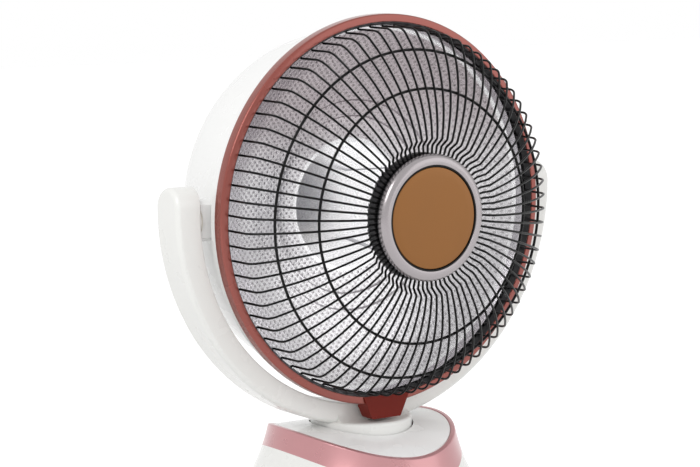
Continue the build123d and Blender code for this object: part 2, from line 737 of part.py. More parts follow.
# Friction washers between the yoke and the bosses of the head.
with BuildPart() as pivot_washers:
    for side in (-1, 1):
        with BuildSketch(Plane.YZ.offset(side * washer_inner)):
            with Locations((0, pivot_height)):
                Circle(pad_radius)
                Circle(bolt_radius + running_gap, mode=Mode.SUBTRACT)
        extrude(amount=side * (washer_outer - washer_inner))
pivot_washers.part.label = "pivot_washers"
export_step(pivot_washers.part, "parts/pivot_washers.step")

with BuildPart() as pivot_bolts:
    for side in (-1, 1):
        with BuildSketch(Plane.YZ.offset(side * bolt_seat)):
            with Locations((0, pivot_height)):
                Circle(bolt_radius)
        extrude(amount=-side * 26)
        with BuildSketch(Plane.YZ.offset(side * bolt_seat)):
            with Locations((0, pivot_height)):
                RegularPolygon(6.5, 6)
        extrude(amount=side * 4)
pivot_bolts.part.label = "pivot_bolts"
export_step(pivot_bolts.part, "parts/pivot_bolts.step")

# Turntable under the foot of the yoke, turned by the shaft of the motor.
lead_hole_y = 30.0
with BuildPart() as turntable:
    with BuildSketch(Plane.XY.offset(turntable_bottom)):
        Circle(turntable_radius)
        Circle(shaft_radius, mode=Mode.SUBTRACT)
        with Locations((0, lead_hole_y)):
            Circle(4.5, mode=Mode.SUBTRACT)
        with PolarLocations(turn_screw_circle, 4, start_angle=45):
            Circle(1.8, mode=Mode.SUBTRACT)
    extrude(amount=turntable_thickness)
turntable.part.label = "turntable"
export_step(turntable.part, "parts/turntable.step")

with BuildPart() as turntable_screws:
    with BuildSketch(Plane.XY.offset(turntable_bottom)):
        with PolarLocations(turn_screw_circle, 4, start_angle=45):
            Circle(3.4)
    extrude(amount=-1.8)
    with BuildSketch(Plane.XY.offset(turntable_bottom)):
        with PolarLocations(turn_screw_circle, 4, start_angle=45):
            Circle(1.5)
    extrude(amount=turntable_thickness + 8)
turntable_screws.part.label = "turntable_screws"
export_step(turntable_screws.part, "parts/turntable_screws.step")

frame_bottom = frame_top - frame_thickness
motor_bottom = frame_bottom - motor_height
shaft_bottom = frame_bottom - 12.0
with BuildPart() as swing_shaft:
    with BuildSketch(Plane.XY.offset(shaft_bottom)):
        Circle(shaft_radius)
    extrude(amount=foot_bottom - shaft_bottom)
swing_shaft.part.label = "swing_shaft"
export_step(swing_shaft.part, "parts/swing_shaft.step")

# Slippery ring that carries the turntable.
with BuildPart() as bearing_ring:
    with BuildSketch(Plane.XY.offset(frame_top)):
        Circle(turntable_radius - 2)
        Circle(turn_screw_circle + 8, mode=Mode.SUBTRACT)
    extrude(amount=bearing_thickness)
bearing_ring.part.label = "bearing_ring"
export_step(bearing_ring.part, "parts/bearing_ring.step")

# Frame on four posts, with a curved slot that the leads swing in.
floor_top = floor_bottom + floor_thickness
lead_slot = CenterArc((0, 0), lead_hole_y, 42, 96)
with BuildPart() as swing_frame:
    with BuildSketch(Plane.XY.offset(frame_bottom)):
        Circle(frame_radius)
        Circle(shaft_radius + running_gap, mode=Mode.SUBTRACT)
        SlotArc(lead_slot.edge(), 8.4, mode=Mode.SUBTRACT)
        with PolarLocations(19, 2):
            Circle(1.5, mode=Mode.SUBTRACT)
    extrude(amount=frame_thickness)
    with BuildSketch(Plane.XY.offset(floor_top)):
        with PolarLocations(post_circle, 4, start_angle=45):
            Circle(post_radius)
    extrude(amount=frame_bottom - floor_top)
    with BuildSketch(Plane.XY.offset(floor_top)):
        with PolarLocations(post_circle, 4, start_angle=45):
            Circle(1.5)
    extrude(amount=12, mode=Mode.SUBTRACT)
swing_frame.part.label = "swing_frame"
export_step(swing_frame.part, "parts/swing_frame.step")

with BuildPart() as swing_motor:
    with BuildSketch(Plane.XY.offset(motor_bottom)):
        Circle(motor_radius)
    extrude(amount=frame_bottom - motor_bottom)
    with BuildSketch(Plane.XY.offset(shaft_bottom - 1)):
        Circle(shaft_radius + body_gap)
    extrude(amount=20, mode=Mode.SUBTRACT)
    with BuildSketch(Plane.XY.offset(frame_bottom)):
        with PolarLocations(19, 2):
            Circle(1.5)
    extrude(amount=-8, mode=Mode.SUBTRACT)
    with BuildSketch(Plane.XY.offset(motor_bottom + 10)):
        with Locations((0, 0.5 - motor_radius)):
            Rectangle(16, 14)
    extrude(amount=8)
swing_motor.part.label = "swing_motor"
export_step(swing_motor.part, "parts/swing_motor.step")

# Screws of the motor and of the frame's posts.
with BuildPart() as motor_screws:
    with BuildSketch(Plane.XY.offset(frame_top)):
        with PolarLocations(19, 2):
            Circle(1.5)
    extrude(amount=-frame_thickness - 7)
    with BuildSketch(Plane.XY.offset(frame_top)):
        with PolarLocations(19, 2):
            Circle(3.0)
    extrude(amount=1.2)
motor_screws.part.label = "motor_screws"
export_step(motor_screws.part, "parts/motor_screws.step")


def saddle_block(crest):
    """Everything under the curved surface that crests at this height."""
    with BuildPart() as block:
        with BuildSketch(Plane.YZ):
            with Locations((saddle_y, crest - saddle_radius)):
                Circle(saddle_radius)
        extrude(amount=150, both=True)
    return block.part


def skin(inset):
    """The turned outline of the base, moved in by the inset, down to the axis."""
    with BuildPart() as turned:
        with BuildSketch(Plane.XZ):
            with BuildLine():
                Spline(*[(r - inset, z) for r, z in base_profile])
                Polyline((base_profile[-1][0] - inset, base_profile[-1][1]),
                         (0, base_profile[-1][1]), (0, base_profile[0][1]),
                         (base_profile[0][0] - inset, base_profile[0][1]))
            make_face()
        revolve(axis=Axis.Z)
    return turned.part


skin_block = skin(0)
body_hollow = skin(body_wall)
band_hollow = skin(band_wall)
plate_blank = skin(band_wall + 0.1)
plate_top = rim_crest - plate_drop
under_rim = saddle_block(rim_crest)
under_band = saddle_block(band_crest)
under_plate_top = saddle_block(plate_top)
under_plate = saddle_block(plate_top - plate_thickness)
under_ledge = saddle_block(plate_top - plate_thickness - 3.5)


def front_radius(z):
    """Radius of the base skin at this height."""
    for (r0, z0), (r1, z1) in zip(base_profile, base_profile[1:]):
        if z <= z1:
            return r0 + (r1 - r0) * (z - z0) / (z1 - z0)
    return base_profile[-1][0]


def surface_plane(angle, z, depth):
    """Plane on the sloping front of the base, looking outwards."""
    turn = radians(angle - 90)
    tip = radians(control_slope)
    out = (cos(turn) * cos(tip), sin(turn) * cos(tip), sin(tip))
    radius = front_radius(z)
    return Plane(origin=(radius * cos(turn) - depth * out[0], radius * sin(turn) - depth * out[1],
                         z - depth * out[2]),
                 x_dir=(-sin(turn), cos(turn), 0), z_dir=out)


# Height of the band's lower edge at the front, where its cut meets the skin.
band_edge = band_crest
for _ in range(20):
    reach = front_radius(band_edge) + saddle_y
    band_edge = band_crest - saddle_radius + sqrt(saddle_radius ** 2 - reach ** 2)

gland_y = front_radius(gland_z)
knob_angles = (-knob_angle, knob_angle)
button_z = band_edge - 9.1
pad_depth = recess_depth + 3.0
button_pad = 4.4

# Thickening behind the knobs and the push button, trimmed to the skin.
with BuildPart() as control_pads:
    for angle in knob_angles:
        with BuildSketch(surface_plane(angle, control_z, pad_depth)):
            Circle(recess_radius + 2.5)
        extrude(amount=pad_depth + 2)
    with BuildSketch(surface_plane(0, button_z, button_pad)):
        Circle(button_radius + 4)
    extrude(amount=button_pad + 2)
    add(skin_block, mode=Mode.INTERSECT)

with BuildPart() as screw_posts:
    with BuildSketch(Plane.XY.offset(floor_top)):
        with PolarLocations(screw_circle, 4, start_angle=45):
            Circle(5)
    extrude(amount=50)
    add(skin_block, mode=Mode.INTERSECT)

with BuildPart() as base_body:
    add(skin_block)
    add(body_hollow, mode=Mode.SUBTRACT)
    add(control_pads.part)
    add(screw_posts.part)
    add(under_band, mode=Mode.INTERSECT)
    for angle in knob_angles:
        with BuildSketch(surface_plane(angle, control_z, recess_depth)):
            Circle(recess_radius)
        extrude(amount=20, mode=Mode.SUBTRACT)
        with BuildSketch(surface_plane(angle, control_z, pad_depth + 1)):
            Circle(spindle_radius + body_gap)
        extrude(amount=20, mode=Mode.SUBTRACT)
    with BuildSketch(surface_plane(0, button_z, button_pad + 1)):
        Circle(button_radius + body_gap)
    extrude(amount=20, mode=Mode.SUBTRACT)
    with BuildSketch(Plane.XY.offset(floor_top - 1)):
        with PolarLocations(screw_circle, 4, start_angle=45):
            Circle(1.5)
    extrude(amount=14, mode=Mode.SUBTRACT)
    # Way in for the supply at the back.
    with BuildSketch(Plane.XZ.offset(26 - gland_y)):
        with Locations((0, gland_z)):
            Circle(bushing_radius)
    extrude(amount=-60, mode=Mode.SUBTRACT)
base_body.part.label = "base_body"
export_step(base_body.part, "parts/base_body.step")

# Ledge inside the band that the top plate lies on.
with BuildPart() as band_ledge:
    add(band_hollow)
    add(under_plate, mode=Mode.INTERSECT)
    add(under_ledge, mode=Mode.SUBTRACT)
    with BuildSketch(Plane.XY.offset(60)):
        Circle(base_radius - 56)
    extrude(amount=70, mode=Mode.SUBTRACT)

# Coloured band round the top of the base.
with BuildPart() as base_band:
    add(skin_block)
    add(band_hollow, mode=Mode.SUBTRACT)
    add(under_rim, mode=Mode.INTERSECT)
    fillet(base_band.edges().filter_by(lambda e: e.bounding_box().max.Z > rim_crest - 4), 1.2)
    add(under_band, mode=Mode.SUBTRACT)
    add(band_ledge.part)
base_band.part.label = "base_band"
export_step(base_band.part, "parts/base_band.step")

# Top plate with the hole the foot stands in.
with BuildPart() as base_top_plate:
    add(plate_blank)
    add(under_plate_top, mode=Mode.INTERSECT)
    add(under_plate, mode=Mode.SUBTRACT)
    with BuildSketch(Plane.XY.offset(60)):
        Circle(foot_hole_radius)
    extrude(amount=70, mode=Mode.SUBTRACT)
base_top_plate.part.label = "base_top_plate"
export_step(base_top_plate.part, "parts/base_top_plate.step")

# Floor of the base.
foot_circle = base_radius - 19.0
foot_pad_radius = 9.0
with BuildPart() as base_floor:
    with BuildSketch(Plane.XY.offset(floor_bottom)):
        Circle(base_radius - 3.4)
        with PolarLocations(screw_circle, 4, start_angle=45):
            Circle(1.7, mode=Mode.SUBTRACT)
        with PolarLocations(post_circle, 4, start_angle=45):
            Circle(1.7, mode=Mode.SUBTRACT)
        with Locations((0, plunger_y)):
            Circle(plunger_hole, mode=Mode.SUBTRACT)
        with PolarLocations(25, 8):
            SlotOverall(12, 3, rotation=90, mode=Mode.SUBTRACT)
    extrude(amount=floor_thickness)
base_floor.part.label = "base_floor"
export_step(base_floor.part, "parts/base_floor.step")

with BuildPart() as floor_screws:
    for circle in (screw_circle, post_circle):
        with BuildSketch(Plane.XY.offset(floor_bottom)):
            with PolarLocations(circle, 4, start_angle=45):
                Circle(3.2)
        extrude(amount=-1.6)
        with BuildSketch(Plane.XY.offset(floor_bottom)):
            with PolarLocations(circle, 4, start_angle=45):
                Circle(1.5)
        extrude(amount=floor_thickness + 9)
floor_screws.part.label = "floor_screws"
export_step(floor_screws.part, "parts/floor_screws.step")

with BuildPart() as rubber_feet:
    with BuildSketch(Plane.XY):
        with PolarLocations(foot_circle, 4):
            Circle(foot_pad_radius)
    extrude(amount=floor_bottom)
    rims = rubber_feet.edges().group_by(Axis.Z)[0]
    chamfer(rims, 0.8)
rubber_feet.part.label = "rubber_feet"
export_step(rubber_feet.part, "parts/rubber_feet.step")

# Steel ring that keeps the heater standing.
with BuildPart() as ballast_ring:
    with BuildSketch(Plane.XY.offset(floor_top)):
        Circle(55)
        Circle(33, mode=Mode.SUBTRACT)
    extrude(amount=10)
ballast_ring.part.label = "ballast_ring"
export_step(ballast_ring.part, "parts/ballast_ring.step")

# Controls on the front of the base.
switch_depth = 20.0
spindle_reach = 14.0
knob_lift = 0.4


def round_knob(angle):
    """Knob with a grip bar, its spindle reaching down into the switch."""
    seat = recess_depth - knob_lift
    with BuildPart() as knob:
        with BuildSketch(surface_plane(angle, control_z, seat)):
            Circle(knob_radius)
        extrude(amount=knob_height - 6, taper=3)
        top = knob.faces().sort_by(lambda f: f.center().Z)[-1]
        fillet(top.edges(), 0.8)
        with BuildSketch(surface_plane(angle, control_z, seat - knob_height + 6)):
            SlotOverall(2 * knob_radius - 5, 7, rotation=90)
        extrude(amount=6, taper=4)
        with BuildSketch(surface_plane(angle, control_z, seat)):
            Circle(spindle_radius)
        extrude(amount=-(pad_depth - seat + spindle_reach))
    return knob.part


def switch_box(angle):
    """Switch body against the back of the pad, bored for the spindle."""
    with BuildPart() as box:
        with BuildSketch(surface_plane(angle, control_z, pad_depth)):
            RectangleRounded(32, 30, 3)
        extrude(amount=-switch_depth)
        with BuildSketch(surface_plane(angle, control_z, pad_depth + spindle_reach + 1)):
            Circle(spindle_radius + body_gap)
        extrude(amount=spindle_reach + 5, mode=Mode.SUBTRACT)
        with BuildSketch(surface_plane(angle, control_z, pad_depth + switch_depth)):
            with GridLocations(14, 0, 2, 1):
                Rectangle(6.3, 0.8)
        extrude(amount=-8)
    return box.part


with BuildPart() as timer_knob:
    add(round_knob(-knob_angle))
timer_knob.part.label = "timer_knob"
export_step(timer_knob.part, "parts/timer_knob.step")

with BuildPart() as heat_knob:
    add(round_knob(knob_angle))
heat_knob.part.label = "heat_knob"
export_step(heat_knob.part, "parts/heat_knob.step")

with BuildPart() as timer_box:
    add(switch_box(-knob_angle))
timer_box.part.label = "timer_box"
export_step(timer_box.part, "parts/timer_box.step")

with BuildPart() as heat_switch:
    add(switch_box(knob_angle))
heat_switch.part.label = "heat_switch"
export_step(heat_switch.part, "parts/heat_switch.step")

# Push button for the swing, held in by a flange behind its pad.
button_out = 4.0
button_flange = 1.6
with BuildPart() as swing_button:
    with BuildSketch(surface_plane(0, button_z, button_pad + body_gap)):
        Circle(button_radius)
    extrude(amount=button_pad + body_gap + button_out)
    fillet(swing_button.edges().group_by(Axis.Z)[-1], 1)
    with BuildSketch(surface_plane(0, button_z, button_pad + body_gap)):
        Circle(button_radius + 2)
    extrude(amount=-button_flange)
swing_button.part.label = "swing_button"
export_step(swing_button.part, "parts/swing_button.step")

button_floor = button_pad + body_gap + button_flange + button_travel + body_gap
with BuildPart() as swing_switch:
    with BuildSketch(surface_plane(0, button_z, button_floor)):
        RectangleRounded(20, 22, 2)
    extrude(amount=-14)
    # Side walls that stand off from the pad round the button's flange.
    with BuildSketch(surface_plane(0, button_z, button_floor)):
        with GridLocations(21, 0, 2, 1):
            Rectangle(1.5, 12)
    extrude(amount=button_floor - button_pad)
    with BuildSketch(surface_plane(0, button_z, button_floor + 2)):
        with GridLocations(21, 0, 2, 1):
            Rectangle(1.5, 12)
    extrude(amount=2)
swing_switch.part.label = "swing_switch"
export_step(swing_switch.part, "parts/swing_switch.step")

# Tip-over switch: the plunger rises when the heater is lifted or tipped.
with BuildPart() as tip_switch:
    with BuildSketch(Plane.XY.offset(floor_top)):
        with Locations((0, plunger_y)):
            RectangleRounded(20, 18, 1.5)
    extrude(amount=24)
    with BuildSketch(Plane.XY.offset(floor_top - 1)):
        with Locations((0, plunger_y)):
            Circle(plunger_hole)
    extrude(amount=19, mode=Mode.SUBTRACT)
tip_switch.part.label = "tip_switch"
export_step(tip_switch.part, "parts/tip_switch.step")

with BuildPart() as tip_plunger:
    with BuildSketch(Plane.XY.offset(plunger_bottom)):
        with Locations((0, plunger_y)):
            Circle(plunger_radius)
    extrude(amount=20)
    fillet(tip_plunger.edges().group_by(Axis.Z)[0], 1)
tip_plunger.part.label = "tip_plunger"
export_step(tip_plunger.part, "parts/tip_plunger.step")

# Bushing in the back wall where the supply lead comes in.
with BuildPart() as inlet_bushing:
    with BuildSketch(Plane.XZ.offset(8.3 - gland_y)):
        with Locations((0, gland_z)):
            Circle(bushing_radius + 2.5)
    extrude(amount=-13)
    add(skin_block, mode=Mode.SUBTRACT)
    with BuildSketch(Plane.XZ.offset(10.3 - gland_y)):
        with Locations((0, gland_z)):
            Circle(bushing_radius)
    extrude(amount=-14)
    with BuildSketch(Plane.XZ.offset(16 - gland_y)):
        with Locations((0, gland_z)):
            Circle(bushing_radius - 2.7)
    extrude(amount=-30, mode=Mode.SUBTRACT)
inlet_bushing.part.label = "inlet_bushing"
export_step(inlet_bushing.part, "parts/inlet_bushing.step")
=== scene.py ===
# %% [markdown]
# # A dish heater, dressed for its portrait
# The solids of the heater come in ready made, in metres, and this notebook gives them their looks.
# Each step says what a piece is on the real heater, how it could be made, and why one way was taken.

# %% Load the frame
import math

import bmesh
import bpy
from mathutils import Matrix, Vector


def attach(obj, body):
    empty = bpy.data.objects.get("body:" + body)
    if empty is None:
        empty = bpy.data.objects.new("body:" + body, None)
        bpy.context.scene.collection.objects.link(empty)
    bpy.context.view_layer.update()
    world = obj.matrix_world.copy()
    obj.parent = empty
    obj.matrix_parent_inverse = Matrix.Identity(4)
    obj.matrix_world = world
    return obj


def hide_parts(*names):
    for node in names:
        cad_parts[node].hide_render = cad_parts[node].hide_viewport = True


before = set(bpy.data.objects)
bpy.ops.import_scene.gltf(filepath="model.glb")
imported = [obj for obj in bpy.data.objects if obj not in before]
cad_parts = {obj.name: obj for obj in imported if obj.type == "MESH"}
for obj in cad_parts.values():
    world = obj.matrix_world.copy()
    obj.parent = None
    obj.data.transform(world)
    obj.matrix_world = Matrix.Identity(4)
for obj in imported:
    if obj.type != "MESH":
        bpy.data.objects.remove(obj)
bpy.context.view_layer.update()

# %% [markdown]
# ## Camera
# The photograph was taken from a little above the dish's middle, well to the heater's right hand side.
# A camera could be aimed with a Track To constraint, but its place, turn and lens were worked out from the
# ellipses of the dish, so they are simply written down.

# %% Camera
lens_mm = 138.857
sensor_mm = 36.0
sight_end = 50.0
camera_place = Vector((-1.46538, -2.01249, 0.61397))
camera_yaw = math.radians(35.822)
camera_pitch = math.radians(-7.355)

camera_data = bpy.data.cameras.new("camera")
camera_data.lens = lens_mm
camera_data.sensor_width = sensor_mm
camera_data.sensor_fit = "HORIZONTAL"
camera_data.clip_end = sight_end
camera = bpy.data.objects.new("camera", camera_data)
camera.location = camera_place
camera.rotation_euler = (math.pi / 2 + camera_pitch, 0.0, -camera_yaw)
bpy.context.scene.collection.objects.link(camera)
bpy.context.scene.camera = camera
print("camera", tuple(round(v, 3) for v in camera.location))

# %% [markdown]
# ## Colours
# Colours are written as the 0 to 255 numbers of a screen. Blender mixes light in linear values, so one small
# function turns the first kind into the second.

# %% Colour helper


def screen(r, g, b):
    """Linear colour from the numbers of a screen."""
    def linear(c):
        c /= 255.0
        return c / 12.92 if c <= 0.04045 else ((c + 0.055) / 1.055) ** 2.4
    return (linear(r), linear(g), linear(b), 1.0)


print("white in linear values", [round(c, 3) for c in screen(243, 243, 242)])

# %% [markdown]
# ## Shared effects
# All finishes here share two things: a faint cloudiness in their gloss, and a very fine skin in the surface.
# Each is built once as a node group with named inputs, and every material places it with its own values.

# %% Node group for cloudy gloss


def new_group(name, inputs, outputs):
    """Empty shader group with float or colour sockets."""
    group = bpy.data.node_groups.new(name, "ShaderNodeTree")
    for label, kind, value in inputs:
        socket = group.interface.new_socket(label, in_out="INPUT", socket_type=kind)
        socket.default_value = value
    for label, kind in outputs:
        group.interface.new_socket(label, in_out="OUTPUT", socket_type=kind)
    return group, group.nodes.new("NodeGroupInput"), group.nodes.new("NodeGroupOutput")


def add_node(tree, kind, links=(), **settings):
    """Node of this kind, with its plain settings and its incoming links."""
    node = tree.nodes.new(kind)
    for key, value in settings.items():
        if key.startswith("in_"):
            node.inputs[key[3:].replace("_", " ")].default_value = value
        else:
            setattr(node, key, value)
    for source, target in links:
        tree.links.new(source, node.inputs[target])
    return node


cloud, cloud_in, cloud_out = new_group(
    "cloudy_gloss",
    [("Scale", "NodeSocketFloat", 30.0), ("Low", "NodeSocketFloat", 0.2), ("High", "NodeSocketFloat", 0.3)],
    [("Roughness", "NodeSocketFloat"), ("Cloud", "NodeSocketFloat")])
cloud_place = add_node(cloud, "ShaderNodeTexCoord")
cloud_noise = add_node(cloud, "ShaderNodeTexNoise", in_Detail=4.0, links=[
    (cloud_place.outputs["Object"], "Vector"), (cloud_in.outputs["Scale"], "Scale")])
cloud_range = add_node(cloud, "ShaderNodeMapRange", in_From_Min=0.3, in_From_Max=0.7, links=[
    (cloud_noise.outputs["Fac"], "Value"), (cloud_in.outputs["Low"], "To Min"),
    (cloud_in.outputs["High"], "To Max")])
cloud.links.new(cloud_range.outputs["Result"], cloud_out.inputs["Roughness"])
cloud.links.new(cloud_noise.outputs["Fac"], cloud_out.inputs["Cloud"])
print("group", cloud.name)

# %% Node group for a moulded or painted skin
skin, skin_in, skin_out = new_group(
    "fine_skin", [("Scale", "NodeSocketFloat", 900.0), ("Mix", "NodeSocketFloat", 0.35)],
    [("Height", "NodeSocketFloat")])
skin_place = add_node(skin, "ShaderNodeTexCoord")
skin_fine = add_node(skin, "ShaderNodeTexNoise", in_Detail=2.0, links=[
    (skin_place.outputs["Object"], "Vector"), (skin_in.outputs["Scale"], "Scale")])
skin_wide = add_node(skin, "ShaderNodeTexNoise", in_Scale=70.0, in_Detail=1.0, links=[
    (skin_place.outputs["Object"], "Vector")])
skin_mix = add_node(skin, "ShaderNodeMix", data_type="FLOAT", links=[(skin_in.outputs["Mix"], 0)])
skin.links.new(skin_wide.outputs["Fac"], skin_mix.inputs[2])
skin.links.new(skin_fine.outputs["Fac"], skin_mix.inputs[3])
skin.links.new(skin_mix.outputs[0], skin_out.inputs["Height"])
print("group", skin.name)

# %% [markdown]
# ## Hammered pattern
# The dish carries a fine pattern, small dimples that sit cornerwise in rows, and only its middle and its rim
# are smooth. The dimples could be pressed into the mesh. Here they are a bump in the finish, which keeps the
# sheet light. Two crossed cosines give the pattern from the piece's own X and Z, and the distance from the
# dish's axis fades it out where the sheet is plain.

# %% Node group for the hammered pattern
fade_width = 0.002
hammer, hammer_in, hammer_out = new_group(
    "hammered_rows",
    [("Pitch", "NodeSocketFloat", 0.0048), ("Axis Height", "NodeSocketFloat", 0.318),
     ("Smooth Middle", "NodeSocketFloat", 0.062), ("Smooth Rim", "NodeSocketFloat", 0.166)],
    [("Height", "NodeSocketFloat"), ("Mask", "NodeSocketFloat")])


def math_node(tree, operation, first, second=None):
    """Math node of one or two operands, each a socket or a number."""
    node = tree.nodes.new("ShaderNodeMath")
    node.operation = operation
    for slot, operand in enumerate((first, second)):
        if isinstance(operand, bpy.types.NodeSocket):
            tree.links.new(operand, node.inputs[slot])
        elif operand is not None:
            node.inputs[slot].default_value = operand
    return node.outputs[0]


hammer_place = add_node(hammer, "ShaderNodeTexCoord")
hammer_axes = add_node(hammer, "ShaderNodeSeparateXYZ", links=[(hammer_place.outputs["Object"], "Vector")])
across = hammer_axes.outputs["X"]
upward = math_node(hammer, "SUBTRACT", hammer_axes.outputs["Z"], hammer_in.outputs["Axis Height"])
per_metre = math_node(hammer, "DIVIDE", 2 * math.pi, hammer_in.outputs["Pitch"])
wave = math_node(hammer, "COSINE", math_node(hammer, "MULTIPLY", across, per_metre))
cross_wave = math_node(hammer, "COSINE", math_node(hammer, "MULTIPLY", upward, per_metre))
dimples = math_node(hammer, "MAXIMUM", math_node(hammer, "MULTIPLY", wave, cross_wave), 0.0)
squares = math_node(hammer, "ADD", math_node(hammer, "POWER", across, 2.0),
                    math_node(hammer, "POWER", upward, 2.0))
away = math_node(hammer, "SQRT", squares)
past_middle = add_node(hammer, "ShaderNodeMapRange", interpolation_type="SMOOTHSTEP", links=[
    (away, "Value"), (hammer_in.outputs["Smooth Middle"], "From Min"),
    (math_node(hammer, "ADD", hammer_in.outputs["Smooth Middle"], fade_width), "From Max")])
before_rim = add_node(hammer, "ShaderNodeMapRange", interpolation_type="SMOOTHSTEP", links=[
    (away, "Value"), (hammer_in.outputs["Smooth Rim"], "From Max"),
    (math_node(hammer, "SUBTRACT", hammer_in.outputs["Smooth Rim"], fade_width), "From Min")])
rough_zone = math_node(hammer, "SUBTRACT", past_middle.outputs["Result"], before_rim.outputs["Result"])
hammer.links.new(math_node(hammer, "MULTIPLY", dimples, rough_zone), hammer_out.inputs["Height"])
hammer.links.new(rough_zone, hammer_out.inputs["Mask"])
print("group", hammer.name)

# %% [markdown]
# ## A finish from a recipe
# Every finish is a Principled shader whose colour drifts a little, whose gloss is cloudy and whose surface
# has a skin. One function makes them all, and what is the same all over is set on the shader itself.

# %% Finish helper


def finish(name, colour, drift=0.96, gloss=(0.25, 0.33), cloud_scale=30.0, skin_scale=900.0,
           bump=0.02, **shader):
    """Material with a drifting colour, cloudy gloss and fine skin."""
    material = bpy.data.materials.new(name)
    material.use_nodes = True
    tree = material.node_tree
    bsdf = tree.nodes["Principled BSDF"]
    cloudy = add_node(tree, "ShaderNodeGroup", node_tree=cloud, in_Scale=cloud_scale, in_Low=gloss[0],
                      in_High=gloss[1])
    mix = add_node(tree, "ShaderNodeMix", data_type="RGBA", links=[(cloudy.outputs["Cloud"], 0)])
    mix.inputs[6].default_value = [c * drift for c in colour[:3]] + [1.0]
    mix.inputs[7].default_value = colour
    tree.links.new(mix.outputs[2], bsdf.inputs["Base Color"])
    tree.links.new(cloudy.outputs["Roughness"], bsdf.inputs["Roughness"])
    skinned = add_node(tree, "ShaderNodeGroup", node_tree=skin, in_Scale=skin_scale)
    relief = add_node(tree, "ShaderNodeBump", in_Strength=bump, in_Distance=0.001, links=[
        (skinned.outputs["Height"], "Height")])
    tree.links.new(relief.outputs["Normal"], bsdf.inputs["Normal"])
    for key, value in shader.items():
        bsdf.inputs[key.replace("_", " ")].default_value = value
    return material


white_enamel = finish("white_enamel", screen(243, 243, 242), gloss=(0.22, 0.30), Coat_Weight=0.3,
                      Coat_Roughness=0.1)
white_moulded = finish("white_moulded", screen(235, 235, 232), gloss=(0.24, 0.34), bump=0.03,
                       Coat_Weight=0.2, Coat_Roughness=0.15)
rose_ring = finish("rose_ring", screen(142, 68, 58), drift=0.9, gloss=(0.22, 0.3), skin_scale=2500.0,
                   bump=0.03, Metallic=0.55, Coat_Weight=0.5, Coat_Roughness=0.08)
rose_band = finish("rose_band", screen(196, 141, 144), drift=0.93, gloss=(0.26, 0.34),
                   skin_scale=2500.0, bump=0.04, Metallic=0.5, Coat_Weight=0.4, Coat_Roughness=0.1)
red_clip = finish("red_clip", screen(116, 30, 18), drift=0.85, gloss=(0.35, 0.45), Specular_IOR_Level=0.15)
dish_metal = finish("dish_metal", screen(246, 245, 247), drift=0.98, gloss=(0.22, 0.28), bump=0.0,
                    Metallic=1.0)
wire_black = finish("wire_black", screen(8, 8, 9), drift=0.8, gloss=(0.26, 0.36), cloud_scale=60.0,
                    Specular_IOR_Level=0.18)
moulded_black = finish("moulded_black", screen(34, 34, 36), drift=0.8, gloss=(0.4, 0.5), bump=0.05)
silver_trim = finish("silver_trim", screen(160, 154, 156), drift=0.96, gloss=(0.2, 0.27), Metallic=0.75,
                     Coat_Weight=0.3, Coat_Roughness=0.1)
bronze_disc = finish("bronze_disc", screen(136, 88, 38), drift=0.9, gloss=(0.3, 0.4), Metallic=0.45)
raw_steel = finish("raw_steel", screen(176, 176, 180), drift=0.9, gloss=(0.3, 0.42), Metallic=1.0)
white_ceramic = finish("white_ceramic", screen(232, 229, 220), drift=0.93, gloss=(0.55, 0.7), bump=0.06)
quartz = finish("quartz", screen(244, 246, 250), drift=0.99, gloss=(0.03, 0.07), bump=0.0,
                Transmission_Weight=1.0, IOR=1.46)
woven_carbon = finish("woven_carbon", screen(38, 36, 36), drift=0.6, gloss=(0.5, 0.65), bump=0.1)
pressed_fibre = finish("pressed_fibre", screen(204, 200, 190), drift=0.85, gloss=(0.7, 0.85), bump=0.1)
grey_moulded = finish("grey_moulded", screen(120, 121, 124), drift=0.9, gloss=(0.45, 0.55), bump=0.06)
foot_rubber = finish("foot_rubber", screen(36, 35, 35), drift=0.8, gloss=(0.75, 0.9), bump=0.1)
cast_ballast = finish("cast_ballast", screen(84, 84, 86), drift=0.7, gloss=(0.55, 0.75), bump=0.2,
                      Metallic=0.8)
motor_paint = finish("motor_paint", screen(150, 151, 155), drift=0.92, gloss=(0.35, 0.45), Metallic=0.6)

# %% [markdown]
# ## The dish's finish, with painted light
# The hammered rows are tiny, so besides the bump each dimple is painted a little darker: painted shade in
# its hollow. The hammered zone is tinted darker, so the smooth middle and rim stay brighter: a painted
# reflection.
# The upper half of the dish is tinted a darker pinkish grey, also a painted reflection; a mask from the
# height blends it in, where a second material would leave a seam.

# %% Hammered dish
dimple_pitch = 0.0068
dimple_depth = 0.0002
# Heights between which the painted reflection on the upper half of the dish fades in.
reflection_from, reflection_to = 0.33, 0.42
dish_tree = dish_metal.node_tree
dish_shader = dish_tree.nodes["Principled BSDF"]
hammered = add_node(dish_tree, "ShaderNodeGroup", node_tree=hammer, in_Pitch=dimple_pitch)
plain_colour = dish_shader.inputs["Base Color"].links[0].from_socket


def tinted(tree, mask, colour_below, colour_above):
    """Colour socket that multiplies one colour by another where the mask is 1."""
    blend = add_node(tree, "ShaderNodeMix", data_type="RGBA", blend_type="MULTIPLY", links=[(mask, 0)])
    tree.links.new(colour_below, blend.inputs[6])
    blend.inputs[7].default_value = colour_above
    return blend.outputs[2]


